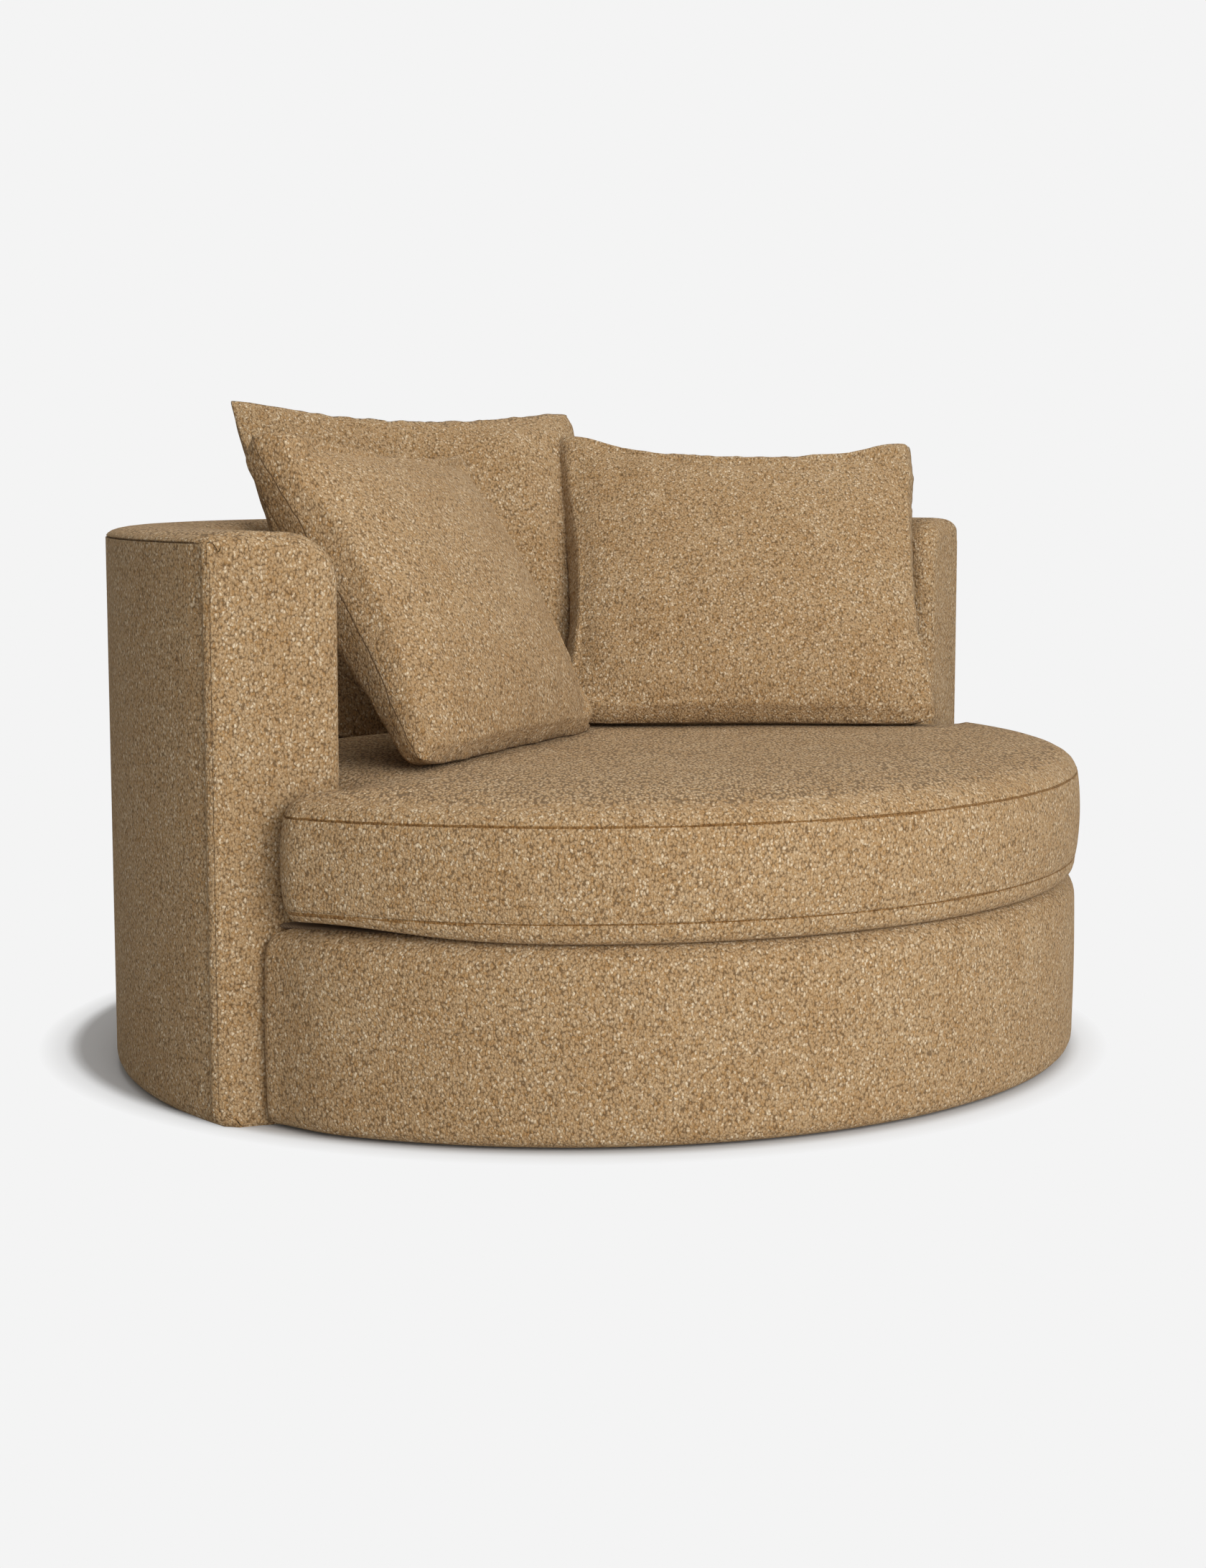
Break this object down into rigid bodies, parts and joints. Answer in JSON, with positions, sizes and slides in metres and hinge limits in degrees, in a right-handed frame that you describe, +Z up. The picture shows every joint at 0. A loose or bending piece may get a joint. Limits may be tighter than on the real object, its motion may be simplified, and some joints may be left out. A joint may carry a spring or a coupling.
{
  "type": "cuddle chair",
  "caption": "Round upholstered cuddle chair in tan boucle with a half-round back, a thick loose seat cushion and loose knife-edge pillows",
  "frame": {"origin": "on the floor, under the middle of the overall box", "axes": "+X to the right seen from the front, +Y to the back, +Z up"},
  "size_m": [1.4238, 1.285, 0.8769],
  "materials": {
    "boucle": "looped boucle upholstery cloth, matt",
    "frame_plywood": "sawn birch plywood, unfinished",
    "fibreboard": "bent hardboard, unfinished",
    "webbing": "woven elastic strap",
    "foam": "open-cell polyurethane foam",
    "lining": "non-woven black lining",
    "nylon": "moulded nylon",
    "zip_tape": "woven zip tape with coil teeth",
    "zip_metal": "plated zinc",
    "pillow_filling": "cotton ticking over fibre filling"
  },
  "bodies": {
    "chair": {"bottom_panel": "frame_plywood", "deck_ring": "frame_plywood", "mid_rib": "frame_plywood", "top_rib": "frame_plywood", "stud_1": "frame_plywood", "stud_2": "frame_plywood", "stud_3": "frame_plywood", "stud_4": "frame_plywood", "stud_5": "frame_plywood", "stud_6": "frame_plywood", "arm_post_left": "frame_plywood", "arm_board_left": "frame_plywood", "arm_post_right": "frame_plywood", "arm_board_right": "frame_plywood", "kicker": "frame_plywood", "stretcher_left": "frame_plywood", "stretcher_right": "frame_plywood", "outer_board": "fibreboard", "strap_lengthwise_1": "webbing", "strap_lengthwise_2": "webbing", "strap_lengthwise_3": "webbing", "strap_lengthwise_4": "webbing", "strap_crosswise_1": "webbing", "strap_crosswise_2": "webbing", "strap_crosswise_3": "webbing", "arm_padding_left": "foam", "arm_padding_right": "foam", "back_foam": "foam", "base_padding": "foam", "deck_pad": "foam", "arm_cover_left": "boucle", "arm_cover_right": "boucle", "cover_outer_back": "boucle", "cover_inner_back": "boucle", "cover_base_band": "boucle", "deck_cloth": "lining", "dust_cover": "lining", "glide_1": "nylon", "glide_2": "nylon", "glide_3": "nylon", "glide_4": "nylon", "glide_5": "nylon", "glide_6": "nylon"},
    "seat_cushion": {"seat_cushion_cover": "boucle", "seat_cushion_core": "foam", "seat_cushion_zip_chain": "zip_tape"},
    "seat_cushion_slider": {"seat_cushion_zip_slider": "zip_metal"},
    "back_left_pillow": {"back_left_pillow_cover": "boucle", "back_left_pillow_insert": "pillow_filling", "back_left_pillow_zip_chain": "zip_tape"},
    "back_left_pillow_slider": {"back_left_pillow_zip_slider": "zip_metal"},
    "front_left_pillow": {"front_left_pillow_cover": "boucle", "front_left_pillow_insert": "pillow_filling", "front_left_pillow_zip_chain": "zip_tape"},
    "front_left_pillow_slider": {"front_left_pillow_zip_slider": "zip_metal"},
    "right_pillow": {"right_pillow_cover": "boucle", "right_pillow_insert": "pillow_filling", "right_pillow_zip_chain": "zip_tape"},
    "right_pillow_slider": {"right_pillow_zip_slider": "zip_metal"}
  },
  "joints": [
    {"name": "seat_cushion_lift", "type": "slide", "parent": "chair", "child": "seat_cushion", "axis": [0, 0, 1], "range_m": [0, 0.5]},
    {"name": "seat_cushion_zip", "type": "hinge", "parent": "seat_cushion", "child": "seat_cushion_slider", "pos_m": [0, -0.0695, 0.318], "axis": [0, 0, 1], "range_deg": [0, 40]},
    {"name": "back_left_pillow_lift", "type": "slide", "parent": "seat_cushion", "child": "back_left_pillow", "axis": [0, 0, 1], "range_m": [0, 0.45]},
    {"name": "front_left_pillow_lift", "type": "slide", "parent": "back_left_pillow", "child": "front_left_pillow", "axis": [0, -0.6, 0.8], "range_m": [0, 0.4]},
    {"name": "right_pillow_lift", "type": "slide", "parent": "front_left_pillow", "child": "right_pillow", "axis": [0, -0.6, 0.8], "range_m": [0, 0.4]},
    {"name": "back_left_pillow_zip", "type": "slide", "parent": "back_left_pillow", "child": "back_left_pillow_slider", "axis": [0.9907, -0.1357, 0], "range_m": [0, 0.27]},
    {"name": "front_left_pillow_zip", "type": "slide", "parent": "front_left_pillow", "child": "front_left_pillow_slider", "axis": [0.9285, 0.3714, 0], "range_m": [0, 0.27]},
    {"name": "right_pillow_zip", "type": "slide", "parent": "right_pillow", "child": "right_pillow_slider", "axis": [0.766, -0.6428, 0], "range_m": [0, 0.27]}
  ]
}
